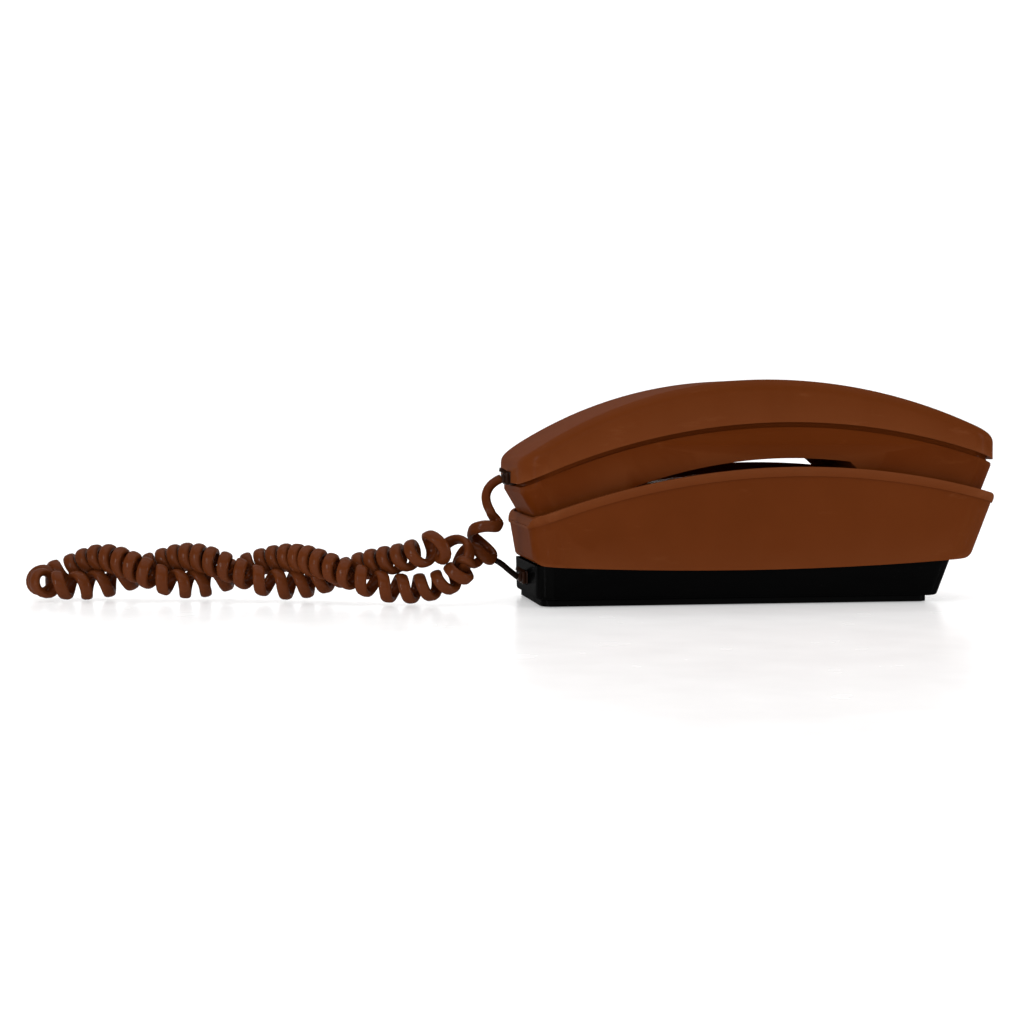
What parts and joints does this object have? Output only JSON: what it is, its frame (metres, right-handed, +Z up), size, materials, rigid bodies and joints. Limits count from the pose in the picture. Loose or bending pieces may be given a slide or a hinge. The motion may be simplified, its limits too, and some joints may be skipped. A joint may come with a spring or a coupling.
{
  "type": "slimline wall phone",
  "caption": "Slimline push-button phone: a curved handset with the keys on its inner side lies in a curved cradle base on a black pan, joined to it by a curly cord.",
  "frame": {"origin": "centre of the phone's footprint, on the surface it stands on", "axes": "+X along the phone towards the earpiece end, +Y across it, +Z up out of the base"},
  "size_m": [0.4228, 0.0907, 0.0971],
  "materials": {
    "brown_plastic": "satin",
    "face_plastic": "satin",
    "black_plastic": "matte",
    "key_plastic": "satin",
    "cord_plastic": "satin",
    "plug_plastic": "clear tinted",
    "rubber": "matte",
    "steel": "satin",
    "brass": "satin",
    "circuit_board": "satin",
    "component_plastic": "matte",
    "winding": "satin",
    "card": "matte",
    "window_plastic": "clear"
  },
  "bodies": {
    "base": {"base_housing": "brown_plastic", "base_pan": "black_plastic", "mount_plate": "black_plastic", "rubber_feet": "rubber", "housing_screws": "steel", "network_board": "circuit_board", "board_components": "component_plastic", "ringer_frame": "steel", "ringer_coil": "winding", "gong": "brass", "gong_screw": "steel", "line_switch": "black_plastic", "hook_spring": "steel", "line_jack": "black_plastic", "base_jack": "black_plastic", "base_plug": "plug_plastic", "number_card": "card", "card_window": "window_plastic", "cord_coil": "cord_plastic", "cord_base_lead": "cord_plastic"},
    "handset": {"handset_top_shell": "brown_plastic", "handset_face_shell": "face_plastic", "handset_screws": "steel", "keypad_bezel": "face_plastic", "key_mat": "rubber", "keypad_board": "circuit_board", "receiver_capsule": "black_plastic", "receiver_gasket": "rubber", "transmitter_capsule": "black_plastic", "transmitter_gasket": "rubber", "handset_jack": "black_plastic", "handset_plug": "plug_plastic", "cord_handset_lead": "cord_plastic"},
    "key_1_body": {"key_1": "key_plastic"},
    "key_2_body": {"key_2": "key_plastic"},
    "key_3_body": {"key_3": "key_plastic"},
    "key_4_body": {"key_4": "key_plastic"},
    "key_5_body": {"key_5": "key_plastic"},
    "key_6_body": {"key_6": "key_plastic"},
    "key_7_body": {"key_7": "key_plastic"},
    "key_8_body": {"key_8": "key_plastic"},
    "key_9_body": {"key_9": "key_plastic"},
    "key_star_body": {"key_star": "key_plastic"},
    "key_0_body": {"key_0": "key_plastic"},
    "key_pound_body": {"key_pound": "key_plastic"},
    "flash_button_body": {"flash_button": "key_plastic"},
    "hook_plunger_body": {"hook_plunger": "black_plastic"},
    "clapper_body": {"clapper": "steel"},
    "volume_lever_body": {"volume_lever": "black_plastic"}
  },
  "joints": [
    {"name": "handset_lift", "type": "slide", "parent": "base", "child": "handset", "axis": [0, 0, 1], "range_m": [0, 0.05]},
    {"name": "key_1_press", "type": "slide", "parent": "handset", "child": "key_1_body", "axis": [0, 0, 1], "range_m": [0, 0.0015], "stiffness_N_per_m": 250, "springref_m": -0.001},
    {"name": "key_2_press", "type": "slide", "parent": "handset", "child": "key_2_body", "axis": [0, 0, 1], "range_m": [0, 0.0015], "stiffness_N_per_m": 250, "springref_m": -0.001},
    {"name": "key_3_press", "type": "slide", "parent": "handset", "child": "key_3_body", "axis": [0, 0, 1], "range_m": [0, 0.0015], "stiffness_N_per_m": 250, "springref_m": -0.001},
    {"name": "key_4_press", "type": "slide", "parent": "handset", "child": "key_4_body", "axis": [0, 0, 1], "range_m": [0, 0.0015], "stiffness_N_per_m": 250, "springref_m": -0.001},
    {"name": "key_5_press", "type": "slide", "parent": "handset", "child": "key_5_body", "axis": [0, 0, 1], "range_m": [0, 0.0015], "stiffness_N_per_m": 250, "springref_m": -0.001},
    {"name": "key_6_press", "type": "slide", "parent": "handset", "child": "key_6_body", "axis": [0, 0, 1], "range_m": [0, 0.0015], "stiffness_N_per_m": 250, "springref_m": -0.001},
    {"name": "key_7_press", "type": "slide", "parent": "handset", "child": "key_7_body", "axis": [0, 0, 1], "range_m": [0, 0.0015], "stiffness_N_per_m": 250, "springref_m": -0.001},
    {"name": "key_8_press", "type": "slide", "parent": "handset", "child": "key_8_body", "axis": [0, 0, 1], "range_m": [0, 0.0015], "stiffness_N_per_m": 250, "springref_m": -0.001},
    {"name": "key_9_press", "type": "slide", "parent": "handset", "child": "key_9_body", "axis": [0, 0, 1], "range_m": [0, 0.0015], "stiffness_N_per_m": 250, "springref_m": -0.001},
    {"name": "key_star_press", "type": "slide", "parent": "handset", "child": "key_star_body", "axis": [0, 0, 1], "range_m": [0, 0.0015], "stiffness_N_per_m": 250, "springref_m": -0.001},
    {"name": "key_0_press", "type": "slide", "parent": "handset", "child": "key_0_body", "axis": [0, 0, 1], "range_m": [0, 0.0015], "stiffness_N_per_m": 250, "springref_m": -0.001},
    {"name": "key_pound_press", "type": "slide", "parent": "handset", "child": "key_pound_body", "axis": [0, 0, 1], "range_m": [0, 0.0015], "stiffness_N_per_m": 250, "springref_m": -0.001},
    {"name": "flash_button_press", "type": "slide", "parent": "handset", "child": "flash_button_body", "axis": [0, 0, 1], "range_m": [0, 0.0015], "stiffness_N_per_m": 250, "springref_m": -0.001},
    {"name": "hook_plunger_slide", "type": "slide", "parent": "base", "child": "hook_plunger_body", "axis": [0, 0, 1], "range_m": [0, 0.0035]},
    {"name": "clapper_swing", "type": "hinge", "parent": "base", "child": "clapper_body", "pos_m": [0.021, 0, 0.012], "axis": [0, 1, 0], "range_deg": [-3.5, 3.5], "stiffness_Nm_per_rad": 0.02},
    {"name": "volume_slide", "type": "slide", "parent": "base", "child": "volume_lever_body", "axis": [1, 0, 0], "range_m": [-0.005, 0.005]}
  ],
  "couplings": [
    {"joint": "hook_plunger_slide", "follows": "handset_lift", "ratio": 0.07}
  ]
}
